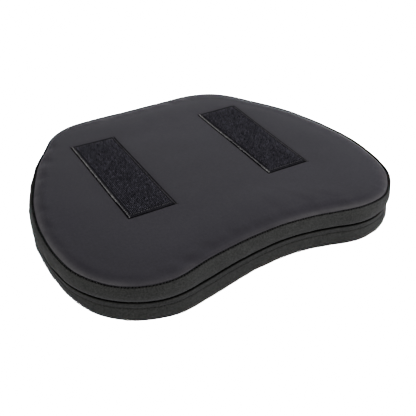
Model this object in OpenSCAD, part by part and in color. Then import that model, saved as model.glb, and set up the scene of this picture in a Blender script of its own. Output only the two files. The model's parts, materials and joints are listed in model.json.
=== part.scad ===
// Padded shield with a zip-off cover and two hook-and-loop mounting strips.
// Units are millimetres. Origin: centre of the resting face. +Z is up, out of
// the face that carries the hook strips; the straight edge is at +Y and the
// notched edge at -Y. X is across the pad, whose outline is symmetric about X = 0.

/* [Outline] */
// Length of the straight rear edge between its two corners
rear_flat = 141; // [120:1:160]
// Radius of the two rear corners
rear_r = 66; // [50:1:80]
// Angle each rear corner turns through, in degrees
rear_turn = 57; // [50:1:62]
// Radius of the slight hollow in each flank
flank_r = 500; // [300:10:900]
// Angle of the slight hollow in each flank, in degrees
flank_turn = 3; // [1:0.5:5]
// Radius of the long side of each lobe
side_r = 250; // [200:5:300]
// Angle of the long side of each lobe, in degrees
side_turn = 44; // [40:1:48]
// Radius of the front of each lobe
lobe_r = 74; // [65:1:85]
// Angle of the front of each lobe, in degrees
lobe_turn = 98; // [94:1:102]

/* [Thickness] */
// Distance between the two face seams, measured up the side
side_h = 41; // [40.5:0.5:46]
// Rise of each face from its seam to its flat middle
crown = 2.5; // [2.3:0.1:4]
// Thickness of the coated cover fabric
skin = 1.2; // [0.8:0.1:1.5]

/* [Foam] */
// Thickness of the soft layer behind the strike face
strike_foam_h = 8.6; // [6:0.1:8.8]
// Gap between the core layer and the cover, which leaves room for the zip
core_inset = 6.8; // [6.5:0.1:10]

/* [Hook strips] */
// Width of the hook tape
tape_w = 50; // [38:1:60]
// Length of each piece of hook tape
tape_l = 146; // [120:1:180]
// Distance from the middle of the pad to the near edge of each tape
tape_gap = 58; // [40:1:60]
// Y of the front end of the tapes
tape_y0 = -55; // [-70:1:-40]
// Thickness of the woven base of the tape
tape_t = 0.9; // [0.6:0.1:1.2]
// Height of the hooks above the base
hook_h = 1.6; // [1.2:0.1:2]
// Width of the plain woven edge along each side of the tape
selvedge = 2.6; // [2:0.1:4]

/* [Zip] */
// Half length of the open stretch of zip on the straight edge
window_x = 69; // [66:0.5:69]
// Half height of the open stretch of zip
window_z = 5; // [4.8:0.1:5.5]
// Width of each zip tape
zip_tape_w = 12; // [11:0.5:12]
// Distance between two coils of the zip
zip_pitch = 1.5; // [1.2:0.1:2]
// X of the slider with the zip closed
slider_x0 = -55; // [-56:1:-40]
// Length of the pull tab from its pivot
pull_l = 22; // [16:1:22]

/* [Stitching] */
// Thickness of the sewing thread
thread = 0.5; // [0.3:0.1:0.6]
// Distance of the top stitching from the fold line over the zip
topstitch = 6; // [5.6:0.1:8]

/* [Hidden] */

gap = 0.05;                       // smallest gap between two pieces
upper = 1;                        // sides of the fold line
lower = -1;

z_low = crown;                    // lower seam
z_top = z_low + side_h;           // upper seam
z_mid = z_low + side_h / 2;       // fold line over the zip
z_face = z_top + crown;           // flat middle of the upper face

// Depths are measured inward from the outline
fold_gap = 1.2;                   // slit between the two folds
hem_z = 10;                       // reach of each hem from the fold line
hem_pad_w = 4;                    // width of the pad between hem and zip tape
seam_gap = 0.6;                   // from each seam to the edge of the boxing
seam_thread_z = 1.2;              // from each seam to the far side of its thread

coil_t = 1.7;                     // thickness of the coils
coil_w = 2.6;                     // width of each row of coils
coil_y = 2 * skin + 0.2;          // depth of the outer side of the coils
web_gap = 0.6;                    // slit between the two rows of coils
zip_tape_y = coil_y + coil_t;     // depth of the outer side of the zip tapes
zip_tape_t = 0.6;                 // thickness of the zip tapes
zip_back_y = zip_tape_y + zip_tape_t;
zip_tape_x0 = -66;                // X where the tapes start on the straight edge
coil_x0 = -60;                    // X where the coils start on the straight edge
pull_y = 0.7;                     // distance of the pull's pivot outside the boxing

foam_inset = 3;                   // from the outline to the two outer foams
foam_step_inset = 10.5;           // same, for the steps that fill the crowns
foam_seam_gap = 0.5;              // from each seam to the wide part of the foam
z_rear_foam = z_top - 7.5;        // underside of the rear foam
z_strike_foam = z_low + strike_foam_h - 1;  // top of the strike foam

stitch_inset = 2.7;               // from the ends of a hook tape to the cross stitching
groove_w = 1;                     // groove in the hooks for the cross stitching
groove_floor = 0.4;               // height of the groove above the base

// ---- outline: tangent arcs, from the middle of the rear edge clockwise to the
// middle of the notch. A heading of 0 is +X, and each corner, side or lobe
// starts at the heading the one before it ends on.
function outward(heading) = [-sin(heading), cos(heading)];

flank_heading = -rear_turn;
side_heading = flank_heading + flank_turn;
lobe_heading = side_heading - side_turn;
notch_heading = lobe_heading - lobe_turn;
notch_turn = -notch_heading - 180;

rear_centre = [rear_flat / 2, -rear_r];
flank_centre = rear_centre + (rear_r + flank_r) * outward(flank_heading);
side_centre = flank_centre - (flank_r + side_r) * outward(side_heading);
lobe_centre = side_centre + (side_r - lobe_r) * outward(lobe_heading);
lobe_end = lobe_centre + lobe_r * outward(notch_heading);
notch_r = lobe_end[0] / sin(notch_turn);
notch_centre = lobe_end + notch_r * outward(notch_heading);
y_rear = (lobe_r - lobe_centre[1]) / 2;

// steps of at most 13 mm and 7.5 degrees
function steps(radius, turn) = max(2, ceil(max(radius * turn * PI / 180 / 13, turn / 7.5)));

// points [x, y, normal x, normal y] after the start of an arc; hollow arcs have
// a negative radius, and clockwise ones a negative turn
function arc(centre, radius, heading, turn, count) =
    [for (i = [1 : count])
        let (normal = outward(heading + turn * i / count))
        concat(centre + [0, y_rear] + radius * normal, normal)];

right_half = concat(
    [for (i = [0 : 2]) concat([rear_flat / 4 * i, y_rear], outward(0))],
    arc(rear_centre, rear_r, 0, -rear_turn, steps(rear_r, rear_turn)),
    arc(flank_centre, -flank_r, flank_heading, flank_turn, 2),
    arc(side_centre, side_r, side_heading, -side_turn, steps(side_r, side_turn)),
    arc(lobe_centre, lobe_r, lobe_heading, -lobe_turn, steps(lobe_r, lobe_turn)),
    arc(notch_centre, -notch_r, notch_heading, notch_turn, steps(notch_r, notch_turn)));
outline = concat(right_half,
    [for (i = [len(right_half) - 2 : -1 : 1])
        let (p = right_half[i])
        [-p[0], p[1], -p[2], p[3]]]);

function edge(offset) = [for (p = outline) [p[0] + offset * p[2], p[1] + offset * p[3]]];

// low end of a span that starts `near` away from zero, on the given side of it
function low_end(side, near, size) = side > 0 ? near : -near - size;

module slab(offset, z0, z1) {
    translate([0, 0, z0]) linear_extrude(z1 - z0) polygon(edge(offset));
}

// a band round the outline; near and far are distances from the fold line
module band(inner, outer, side, near, far) {
    translate([0, 0, z_mid + low_end(side, near, far - near)])
        linear_extrude(far - near) difference() {
            polygon(edge(outer));
            polygon(edge(inner));
        }
}

// block across a stretch of the rear edge
module rear_block(x0, x1, depth, z0, z1) {
    overshoot = 5;
    translate([x0, y_rear - depth, z0]) cube([x1 - x0, depth + overshoot, z1 - z0]);
}

// ---- cover
// a face of the cover: a dished lid whose edge turns in behind the boxing as a
// seam allowance. Rings run from the inside of the turned edge, over the lid's
// hollow side to its middle, and from its crowned side back to the turned edge.
module face_panel() {
    lip = 6;
    // [offset from the outline, height above the seam]
    hollow = [[-2.4, -lip], [-2.4, 0.2], [-5.4, 0.9], [-9.4, crown - skin]];
    crowned = [[-10, crown], [-5.2, crown - 0.5], [-2, crown - 1.3], [-0.5, 0.7],
               [0, -0.1], [-1.35, -0.5], [-1.35, -lip]];
    profile = concat(hollow, crowned);
    rings = len(profile);
    count = len(outline);
    last_hollow = len(hollow) - 1;
    first_crowned = len(hollow);
    hollow_middle = rings * count;
    crowned_middle = hollow_middle + 1;
    function vertex(ring, i) = (ring % rings) * count + i % count;

    points = concat(
        [for (r = profile) for (p = edge(r[0])) [p[0], p[1], r[1]]],
        [[0, 0, crown - skin], [0, 0, crown]]);
    faces = concat(
        [for (j = [0 : rings - 1]) if (j != last_hollow) for (i = [0 : count - 1])
            [vertex(j, i), vertex(j, i + 1), vertex(j + 1, i + 1), vertex(j + 1, i)]],
        [for (i = [0 : count - 1])
            [vertex(last_hollow, i), vertex(last_hollow, i + 1), hollow_middle]],
        [for (i = [0 : count - 1])
            [vertex(first_crowned, i + 1), vertex(first_crowned, i), crowned_middle]]);
    polyhedron(points, faces, convexity = 6);
}

module top_panel() {
    color([0.16, 0.155, 0.17]) translate([0, 0, z_top]) face_panel();
}

module bottom_panel() {
    color([0.14, 0.14, 0.14]) translate([0, 0, z_low]) mirror([0, 0, 1]) face_panel();
}

// side wall with its folded hem and zip pad, cut away over the open zip
module boxing(side) {
    fold = fold_gap / 2;
    z_window = z_mid + low_end(side, 0, window_z);
    color([0.12, 0.125, 0.12]) difference() {
        union() {
            band(-skin, 0, side, fold, side_h / 2 - seam_gap);
            band(-2 * skin, -skin, side, fold, hem_z);
            band(-zip_tape_y + gap, -2 * skin, side, hem_z - hem_pad_w, hem_z);
        }
        rear_block(-window_x, window_x, 3, z_window, z_window + window_z);
    }
}

module upper_boxing() { boxing(upper); }
module lower_boxing() { boxing(lower); }

// ---- cover stitching
module seam_thread(side) {
    near = side_h / 2 - seam_thread_z;
    color([0.03, 0.03, 0.03]) band(gap, gap + thread, side, near, near + thread);
}

module top_seam_thread() { seam_thread(upper); }
module bottom_seam_thread() { seam_thread(lower); }

module flap_topstitch() {
    color([0.05, 0.05, 0.05])
        band(gap, gap + thread, lower, topstitch - thread / 2, topstitch + thread / 2);
}

module window_topstitch() {
    color([0.05, 0.05, 0.05])
        translate([-window_x, y_rear + gap, z_mid + topstitch - thread / 2])
            cube([2 * window_x, thread, thread]);
}

// ---- foam
module rear_foam() {
    color([0.75, 0.75, 0.78]) union() {
        slab(-foam_inset, z_rear_foam, z_top - foam_seam_gap);
        slab(-foam_step_inset, z_top - 1, z_face - skin - gap);
    }
}

module core_foam() {
    color([0.6, 0.62, 0.66]) slab(-core_inset, z_strike_foam + gap, z_rear_foam - gap);
}

module strike_foam() {
    color([0.85, 0.84, 0.8]) union() {
        slab(-foam_inset, z_low + foam_seam_gap, z_strike_foam);
        slab(-foam_step_inset, skin + gap, z_low + 1);
    }
}

// ---- hook strips
z_hooks = z_face + 2 * gap + tape_t;   // foot of the hooks and side stitching
stitch_ends = [tape_y0 + stitch_inset, tape_y0 + tape_l - stitch_inset];

module right_hook_tape() {
    color([0.05, 0.05, 0.06])
        translate([tape_gap, tape_y0, z_face + gap]) cube([tape_w, tape_l, tape_t]);
}

// the hooks stand on the base between the plain edges, with a groove near each
// end where the stitching crosses them
module right_hook_field() {
    end_gap = 0.4;
    color([0.04, 0.04, 0.05]) difference() {
        translate([tape_gap + selvedge, tape_y0 + end_gap, z_hooks])
            cube([tape_w - 2 * selvedge, tape_l - 2 * end_gap, hook_h]);
        for (y = stitch_ends)
            translate([tape_gap, y - groove_w / 2, z_hooks + groove_floor])
                cube([tape_w, groove_w, hook_h]);
    }
}

module right_tape_stitching() {
    x0 = tape_gap + selvedge / 2;
    x1 = tape_gap + tape_w - selvedge / 2;
    side_l = stitch_ends[1] - stitch_ends[0] - 2 * thread;
    color([0.03, 0.03, 0.03]) {
        for (x = [x0, x1])
            translate([x - thread / 2, stitch_ends[0] + thread, z_hooks])
                cube([thread, side_l, thread]);
        for (y = stitch_ends)
            translate([x0 + selvedge, y - thread / 2, z_hooks + groove_floor + gap])
                cube([x1 - x0 - 2 * selvedge, thread, thread]);
    }
}

module left_hook_tape() { mirror([1, 0, 0]) right_hook_tape(); }
module left_hook_field() { mirror([1, 0, 0]) right_hook_field(); }
module left_tape_stitching() { mirror([1, 0, 0]) right_tape_stitching(); }

// ---- zip
// a run round the outline, cut through from the left rear corner to start_x
module zip_run(start_x) {
    difference() {
        children();
        rear_block(-rear_flat / 2 - 6, start_x, 12, z_low, z_top);
    }
}

module zip_tape(side) {
    color([0.06, 0.06, 0.06]) zip_run(zip_tape_x0)
        band(-zip_back_y, -zip_tape_y, side, web_gap / 2 + 0.1, web_gap / 2 + zip_tape_w);
}

module upper_zip_tape() { zip_tape(upper); }
module lower_zip_tape() { zip_tape(lower); }

// one row of coils: a plain cord all round, with a comb of teeth where it shows
module zip_coil(side) {
    cord = 1.1;
    tooth_l = coil_w - cord / 2;
    far = web_gap / 2 + coil_w;
    count = floor((window_x - coil_x0) / zip_pitch);
    color([0.08, 0.08, 0.08]) zip_run(coil_x0) union() {
        band(-zip_tape_y + gap, -coil_y, side, far - cord, far);
        translate([0, y_rear - coil_y, z_mid]) rotate([90, 0, 0]) linear_extrude(coil_t - gap)
            for (i = [0 : count - 1])
                translate([coil_x0 + i * zip_pitch, low_end(side, web_gap / 2, tooth_l)])
                    square([zip_pitch * 0.6, tooth_l]);
    }
}

module upper_zip_coil() { zip_coil(upper); }
module lower_zip_coil() { zip_coil(lower); }

module zip_top_stops() {
    stop = [2.4, 1.5, 2.2];
    color([0.55, 0.55, 0.56]) for (side = [lower, upper])
        translate([-63.5, y_rear - zip_tape_y + gap, z_mid + low_end(side, web_gap / 2 + 0.3, stop[2])])
            cube(stop);
}

// at the far end of the zip, behind the flap at the left rear corner
module zip_bottom_stop() {
    stop = [3, 1.2, 6];
    corner_angle = 16;
    color([0.55, 0.55, 0.56])
        translate([-rear_flat / 2, y_rear - rear_r, z_mid]) rotate([0, 0, corner_angle])
            translate([-stop[0] / 2, rear_r - zip_back_y - 0.35 - stop[1], -stop[2] / 2])
                cube(stop);
}

// the slider straddles the coils: an outer plate with side flanges, an inner
// plate behind the tapes, a thin post between them and an arch for the pull
module zip_slider() {
    length = 10;
    plate_t = 1.2;
    flange_t = 1;
    half_w = coil_w + web_gap / 2 + 0.2;   // to the inside of the flanges
    inner_half_w = half_w + 0.6;
    arch_w = 2.4;
    arch_l = 8.8;
    leg_t = 1.2;
    color([0.1, 0.1, 0.11]) translate([slider_x0, y_rear, z_mid]) {
        difference() {
            union() {
                translate([-length / 2, -coil_y + gap, -half_w - flange_t])
                    cube([length, plate_t, 2 * (half_w + flange_t)]);
                for (side = [lower, upper])
                    translate([-length / 2, -zip_tape_y + 0.1, low_end(side, half_w, flange_t)])
                        cube([length, coil_t, flange_t]);
                translate([-length / 2, -zip_back_y - 1.2, -inner_half_w])
                    cube([length, 1.1, 2 * inner_half_w]);
                translate([-4.6, -zip_back_y - 0.6, -0.2])
                    cube([3, zip_back_y - coil_y + 1, 0.4]);
            }
            // rounded corners at the +X end
            for (side = [lower, upper])
                translate([5.2, -8, side * (half_w + 1.2)])
                    rotate([-90, 0, 0]) cylinder(r = 2, h = 10, $fn = 32);
        }
        // legs and bar of the arch
        for (x = [-arch_l / 2, arch_l / 2 - leg_t])
            translate([x, -coil_y + plate_t, -arch_w / 2])
                cube([leg_t, coil_y - plate_t + pull_y + 0.9, arch_w]);
        translate([-arch_l / 2, pull_y + 0.85, -arch_w / 2]) cube([arch_l, 0.8, arch_w]);
    }
}

// pivot pin, two arms and a slotted tab with a round end
module zip_pull() {
    pin_r = 0.7;
    arm_z = 1.7;
    arm_w = 1.5;
    pin_l = 2 * (arm_z + arm_w);
    tab_x = 6;
    tab_t = 1.2;
    tab_r = 3.7;
    color([0.12, 0.12, 0.13]) translate([slider_x0, y_rear + pull_y, z_mid]) {
        translate([0, 0, -pin_l / 2]) cylinder(r = pin_r, h = pin_l, $fn = 32);
        for (side = [lower, upper]) {
            z = low_end(side, arm_z, arm_w);
            translate([0, -tab_t / 2, z]) cube([tab_x + 1, tab_t, arm_w]);
            translate([0, 0, z]) cylinder(r = pin_r, h = arm_w, $fn = 32);
        }
        difference() {
            translate([tab_x, -tab_t / 2, -tab_r]) cube([pull_l - tab_x - tab_r, tab_t, 2 * tab_r]);
            translate([9, -1, -2]) cube([pull_l - 16, 2, 4]);
        }
        translate([pull_l - tab_r, tab_t / 2, 0])
            rotate([90, 0, 0]) cylinder(r = tab_r, h = tab_t, $fn = 48);
    }
}

top_panel();
bottom_panel();
upper_boxing();
lower_boxing();
top_seam_thread();
bottom_seam_thread();
flap_topstitch();
window_topstitch();
rear_foam();
core_foam();
strike_foam();
left_hook_tape();
left_hook_field();
left_tape_stitching();
right_hook_tape();
right_hook_field();
right_tape_stitching();
upper_zip_tape();
lower_zip_tape();
upper_zip_coil();
lower_zip_coil();
zip_top_stops();
zip_bottom_stop();
zip_slider();
zip_pull();
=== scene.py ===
"""A soft, sewn cushion lying strike face down, with two hook strips on its upward back face.

+z is up out of the back face, +y is the straight rear edge with the open stretch of zip, and
-y is the front with its shallow notch. Lengths are millimetres until a mesh is made; lights
and camera are placed in metres.
"""
import json
import math
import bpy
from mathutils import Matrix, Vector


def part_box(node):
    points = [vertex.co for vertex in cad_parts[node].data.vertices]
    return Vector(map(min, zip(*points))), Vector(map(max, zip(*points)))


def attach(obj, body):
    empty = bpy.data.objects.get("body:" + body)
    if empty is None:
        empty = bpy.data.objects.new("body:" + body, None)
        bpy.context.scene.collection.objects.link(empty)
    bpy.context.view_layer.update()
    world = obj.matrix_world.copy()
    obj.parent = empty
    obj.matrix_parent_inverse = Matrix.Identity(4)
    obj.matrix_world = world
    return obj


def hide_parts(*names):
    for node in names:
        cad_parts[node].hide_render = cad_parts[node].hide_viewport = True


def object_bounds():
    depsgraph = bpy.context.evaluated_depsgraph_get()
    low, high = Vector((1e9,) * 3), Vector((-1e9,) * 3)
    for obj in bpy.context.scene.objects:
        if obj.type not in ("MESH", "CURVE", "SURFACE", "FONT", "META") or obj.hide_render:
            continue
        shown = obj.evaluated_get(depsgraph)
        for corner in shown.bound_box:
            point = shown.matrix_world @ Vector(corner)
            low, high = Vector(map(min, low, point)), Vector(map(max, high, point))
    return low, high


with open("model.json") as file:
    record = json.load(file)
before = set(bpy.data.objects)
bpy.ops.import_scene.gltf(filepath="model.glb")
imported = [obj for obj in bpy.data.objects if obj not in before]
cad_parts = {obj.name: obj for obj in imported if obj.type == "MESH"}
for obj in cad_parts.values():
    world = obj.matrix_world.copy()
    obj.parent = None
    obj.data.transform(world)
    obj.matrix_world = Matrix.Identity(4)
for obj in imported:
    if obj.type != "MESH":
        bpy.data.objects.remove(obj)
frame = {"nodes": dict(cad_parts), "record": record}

from types import SimpleNamespace

import bpy
import numpy as np
from mathutils import Matrix, Vector
from mathutils.bvhtree import BVHTree

MM = 0.001
NODES = frame["nodes"]
CAD_LO, CAD_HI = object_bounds()


# ---------------------------------------------------------------- levels of the CAD pieces
def box(node):
    """Low and high corners of a CAD node in millimetres."""
    lo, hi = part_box(node)
    return np.array(lo) * 1000.0, np.array(hi) * 1000.0


UPPER_LO, UPPER_HI = box("upper_boxing")
LOWER_LO, LOWER_HI = box("lower_boxing")
Z_MID = (UPPER_LO[2] + LOWER_HI[2]) / 2     # the fold over the zip
Z_FACE = box("top_panel")[1][2]             # flat of the back
Z_TOP = UPPER_HI[2] + 0.6                   # back seam
Z_LOW = LOWER_LO[2] - 0.6                   # strike seam
Y_REAR = UPPER_HI[1]
CROWN = Z_FACE - Z_TOP
TAPE_BOXES = [box("left_hook_tape"), box("right_hook_tape")]
OPENING_LO, OPENING_HI = box("window_topstitch")
OPENING_X = OPENING_HI[0]                   # half length of the open stretch of zip

# ---------------------------------------------------------------- outline
# Clockwise from the middle of the rear edge, in tangent arcs.
FLAT = 141.0
ARCS = [                    # radius, degrees, turn (-1 clockwise, 1 anticlockwise)
    (66.0, 57.0, -1),       # rear corner
    (500.0, 3.0, 1),        # hollow flank
    (250.0, 44.0, -1),      # side
    (74.0, 98.0, -1),       # front lobe
]
DENSE_COUNT = 4608
SIM_COUNT = 288             # loop points of the simulated cover
LOOP_COUNT = 1152           # loop points of the finished cover


def ease(t):
    t = np.clip(t, 0, 1)
    return t * t * (3 - 2 * t)


def dense_outline(step=0.25):
    x, y, heading = FLAT / 2, 0.0, 0.0
    points = [(a, 0.0) for a in np.linspace(0, x, round(x / step) + 1)]

    def arc(radius, degrees, turn):
        nonlocal x, y, heading
        angle = math.radians(degrees)
        n = max(2, int(round(radius * angle / step)))
        half = turn * angle / n / 2
        chord = 2 * radius * math.sin(angle / n / 2)
        for _ in range(n):
            x += chord * math.cos(heading + half)
            y += chord * math.sin(heading + half)
            heading += 2 * half
            points.append((x, y))

    for radius, degrees, turn in ARCS:
        arc(radius, degrees, turn)
    # the notch turns back what is over a half turn, and ends on the middle line
    notch = -sum(degrees * turn for _, degrees, turn in ARCS) - 180.0
    arc(x / math.sin(math.radians(notch)), notch, 1)
    right = np.array(points)
    left = right[-2:0:-1] * [-1, 1]
    return np.vstack([right, left]) + [0, Y_REAR]


def resample(points, count):
    """Evenly spaced points round a closed loop, and its length."""
    closed = np.vstack([points, points[:1]])
    run = np.concatenate([[0], np.cumsum(np.hypot(*np.diff(closed, axis=0).T))])
    at = np.linspace(0, run[-1], count, endpoint=False)
    return np.column_stack([np.interp(at, run, closed[:, k]) for k in (0, 1)]), run[-1]


def loop_blur(values, sigma):
    """Gaussian blur along a closed loop, sigma in samples."""
    n = values.shape[0]
    gain = np.exp(-2 * (math.pi * sigma * np.fft.rfftfreq(n)) ** 2)
    gain = gain.reshape((-1,) + (1,) * (values.ndim - 1))
    return np.fft.irfft(np.fft.rfft(values, axis=0) * gain, n=n, axis=0)


def outward(points):
    along = np.roll(points, -1, 0) - np.roll(points, 1, 0)
    along /= np.hypot(*along.T)[:, None]
    return np.column_stack([-along[:, 1], along[:, 0]])


_dense, PERIMETER = resample(dense_outline(), DENSE_COUNT)
_dense = loop_blur(_dense, 16)                  # no jump of curvature where arcs meet
_dense = _dense + outward(_dense) * 0.12        # makes up for the shrinkage of the blur
_out = outward(_dense)
SIM_LINE, SIM_OUT = (a[::DENSE_COUNT // SIM_COUNT] for a in (_dense, _out))
LINE, OUT = (a[::DENSE_COUNT // LOOP_COUNT] for a in (_dense, _out))


# ---------------------------------------------------------------- slow, seeded variation
def loop_noise(waves, seed):
    """Sum of (waves per loop, amplitude) with random phases."""
    rng = np.random.default_rng(seed)
    u = np.arange(LOOP_COUNT) / LOOP_COUNT * 2 * math.pi
    total = np.zeros(LOOP_COUNT)
    for cycles, size in waves:
        total += size * np.sin(cycles * u + rng.uniform(0, 2 * math.pi))
    return total


def plane_noise(x, y, seed, wavelength, size, count=7):
    rng = np.random.default_rng(seed)
    z = np.zeros_like(x)
    for _ in range(count):
        a = rng.uniform(0, math.pi)
        k = 2 * math.pi / (wavelength * rng.uniform(0.7, 1.5))
        z += np.sin((x * math.cos(a) + y * math.sin(a)) * k + rng.uniform(0, 6.28))
    return z * size / math.sqrt(count)


def slack(table):
    """A smooth closed curve round the loop, from (share of the loop, value) pairs."""
    t = np.array(table, dtype=float)
    shares = np.concatenate([t[-1:, 0] - 1, t[:, 0], t[:1, 0] + 1])
    values = np.concatenate([t[-1:, 1], t[:, 1], t[:1, 1]])
    return loop_blur(np.interp(np.arange(LOOP_COUNT) / LOOP_COUNT, shares, values), 9)


# The filled cover strays from its pattern: drawn in where the filling is thin, pushed out
# where it is full, bridging the front notch towards the strike face. Offsets out at the
# back seam, the fold and the strike seam, and the rise of the fold:
TOP_OUT = slack([
    (.0, .3), (.05, 1.1), (.10, 1.6), (.15, 1.0), (.22, .6), (.29, .6), (.32, -.5), (.345, 0),
    (.358, .1), (.374, 2.3), (.388, .8), (.402, 0), (.62, 0), (.645, -.9), (.665, -1.5),
    (.682, -.9), (.695, 0), (.715, 1.0), (.73, 1.3), (.75, .8), (.78, 0), (.80, -1.6),
    (.82, -1.3), (.845, -.3), (.87, 0), (.893, 1.2), (.91, .5), (.93, -.3), (.96, -.1)])
MID_OUT = slack([
    (0, 0), (.17, 0), (.26, .5), (.33, 1.2), (.37, 1.0), (.40, 1.0), (.425, .2), (.445, -.2),
    (.475, .0), (.50, 1.2), (.525, 2.8), (.555, 4.0), (.578, 3.0), (.60, .6), (.625, -1.5),
    (.65, -2.0), (.67, -1.6), (.695, .6), (.72, 2.0), (.765, 2.8), (.81, 2.0), (.85, 0)])
MID_RISE = slack([
    (0, 0), (.41, 0), (.445, .7), (.473, 2.0), (.5, 1.0), (.525, 0), (.565, 0), (.6, 1.2),
    (.625, 2.3), (.67, 2.3), (.70, 1.1), (.78, 0)])
LOW_OUT = slack([
    (0, 0), (.17, 0), (.26, .5), (.33, 1.0), (.37, 2.4), (.40, 3.6), (.42, 3.5), (.44, 2.2),
    (.46, 1.6), (.485, 2.8), (.51, 3.8), (.525, 5.2), (.543, 6.6), (.56, 6.6), (.578, 5.2),
    (.6, 2.6), (.622, -.4), (.643, -2.4), (.67, -3.8), (.695, -3.8), (.72, -2.4),
    (.75, -.9), (.79, 0), (.85, 0)])


def drift(z):
    """How far out the cover sits at height z."""
    down = np.clip((Z_TOP - z) / (Z_TOP - Z_LOW) * 2, 0, 2)
    a, b = np.clip(down, 0, 1), np.clip(down - 1, 0, 1)
    a, b = (ease(a) + a) / 2, (ease(b) + b) / 2
    return (TOP_OUT * (1 - a) + MID_OUT * a) * (1 - b) + LOW_OUT * b


# ---------------------------------------------------------------- mesh helpers
def grid_quads(index):
    corners = [index[:-1, :-1], index[1:, :-1], index[1:, 1:], index[:-1, 1:]]
    return np.stack(corners, -1).reshape(-1, 4)


def quads_between(a, b):
    """Quads joining two closed rings of vertex numbers."""
    return np.column_stack([a, np.roll(a, -1), np.roll(b, -1), b])


def round_grid(n):
    """An n x n square grid to be wrapped onto a closed loop of 4n points.

    Returns each point's share of the way out, its place along the loop, the vertex numbers
    of the rim from the middle of the rear, and the quads.
    """
    i, j = np.meshgrid(np.arange(n + 1), np.arange(n + 1), indexing="ij")
    x, y = 2 * i / n - 1, 2 * j / n - 1
    share = np.maximum(np.abs(x), np.abs(y))
    safe = np.where(share == 0, 1, share)
    place = np.select(
        [y >= np.abs(x) - 1e-12, x >= np.abs(y) - 1e-12, -y >= np.abs(x) - 1e-12],
        [n * (x / safe + 1) / 2, n + n * (1 - y / safe) / 2, 2 * n + n * (1 - x / safe) / 2],
        3 * n + n * (1 + y / safe) / 2)
    place = (place - n / 2) % (4 * n)
    index = i * (n + 1) + j
    rim = np.concatenate([index[:n, n], index[n, n:0:-1], index[n:0:-1, 0], index[0, :n]])
    return share.ravel(), place.ravel(), np.roll(rim, -(n // 2)), grid_quads(index)


def at_loop(values, place):
    """Values of a closed loop at fractional indices."""
    n = values.shape[0]
    i = np.floor(place).astype(int) % n
    f = (place - np.floor(place))[:, None]
    return values[i] * (1 - f) + values[(i + 1) % n] * f


def new_mesh(name, verts, faces, material=None, marks=None):
    """A smooth mesh object from millimetres. marks are per-point values its material reads."""
    mesh = bpy.data.meshes.new(name)
    metres = np.asarray(verts, dtype=np.float64) * MM
    if isinstance(faces, np.ndarray):
        count, corners = faces.shape
        mesh.vertices.add(len(metres))
        mesh.vertices.foreach_set("co", metres.astype(np.float32).ravel())
        mesh.loops.add(count * corners)
        mesh.loops.foreach_set("vertex_index", faces.astype(np.int32).ravel())
        mesh.polygons.add(count)
        mesh.polygons.foreach_set("loop_start", (np.arange(count) * corners).astype(np.int32))
        mesh.update(calc_edges=True)
    else:
        mesh.from_pydata([tuple(p) for p in metres], [],
                         [tuple(int(i) for i in face) for face in faces])
        mesh.update()
    mesh.polygons.foreach_set("use_smooth", [True] * len(mesh.polygons))
    if material:
        mesh.materials.append(material)
    for key, values in (marks or {}).items():
        attribute = mesh.attributes.new(key, "FLOAT", "POINT")
        attribute.data.foreach_set("value", np.asarray(values, dtype=np.float32))
    ob = bpy.data.objects.new(name, mesh)
    bpy.context.scene.collection.objects.link(ob)
    return ob


def piece(name, verts, faces, material, node, slot, marks=None):
    """A mesh that rides on the cushion in place of a CAD node."""
    ob = new_mesh(name, verts, faces, material, marks)
    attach(ob, "cushion")
    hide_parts(node)
    return ob


# ---------------------------------------------------------------- cloth simulation
CENTRE = np.array([0.0, 4.0])
SIM_GRID = SIM_COUNT // 4
FACE_GRID = LOOP_COUNT // 8     # the rim of a face has half the loop's points
STITCHED = 0.27                 # share of the lower band where its top stitching runs
FACE_INSETS = [-20.0, -16, -12.5, -9.5, -7, -4.8, -3, -1.4]
LOWER_SHARES = [0.13, STITCHED, 0.42, 0.57, 0.72, 0.86]


def crown(inset):
    """Rise of a simulated face over its seam at -inset inside it."""
    return CROWN * (1 - (1 - np.clip(-inset / 11.5, 0, 1)) ** 2.3)


# stretch of the cover, parameter along it, offset out, height
LEVELS = (
    [("back", d, d, Z_TOP + crown(d)) for d in FACE_INSETS]
    + [("back_seam", 0, -0.4, Z_TOP)]
    + [("upper", i / 6, 0.3, Z_TOP + (Z_MID - Z_TOP) * (i / 6)) for i in range(1, 6)]
    + [("mid", 0, 0.0, Z_MID)]
    + [("lower", t, 0.3, Z_MID + (Z_LOW - Z_MID) * t) for t in LOWER_SHARES]
    + [("strike_seam", 0, -0.4, Z_LOW)]
    + [("strike", d, d, Z_LOW - crown(d)) for d in FACE_INSETS[::-1]])
STRETCHES = [level[0] for level in LEVELS]


def coarse_cover():
    """The closed cover before filling: points, faces, ring numbers and points per face."""
    share, place, rim, quads = round_grid(SIM_GRID)
    edge = SIM_LINE + SIM_OUT * FACE_INSETS[0]
    inner = CENTRE + share[:, None] * (at_loop(edge, place) - CENTRE)
    count = len(inner)
    verts = [np.column_stack([inner, np.full(count, LEVELS[0][3])])]
    rings = [rim]
    base = count
    for _, _, offset, z in LEVELS[1:-1]:
        verts.append(np.column_stack([SIM_LINE + SIM_OUT * offset, np.full(SIM_COUNT, z)]))
        rings.append(np.arange(base, base + SIM_COUNT))
        base += SIM_COUNT
    verts.append(np.column_stack([inner, np.full(count, LEVELS[-1][3])]))
    rings.append(rim + base)
    faces = [quads] + [quads_between(a, b) for a, b in zip(rings[:-1], rings[1:])]
    faces.append(quads[:, ::-1] + base)
    return np.vstack(verts), np.vstack(faces), rings, count


def pin_seams(cover, rings):
    """Holds the seams and the fold, and half holds the top-stitched line."""
    group = cover.vertex_groups.new(name="held")
    for i, (stretch, at, _, _) in enumerate(LEVELS):
        if stretch in ("back_seam", "strike_seam", "mid"):
            group.add([int(k) for k in rings[i]], 1.0, "REPLACE")
        elif stretch == "lower" and at == STITCHED:
            group.add([int(k) for k in rings[i]], 0.35, "REPLACE")


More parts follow.
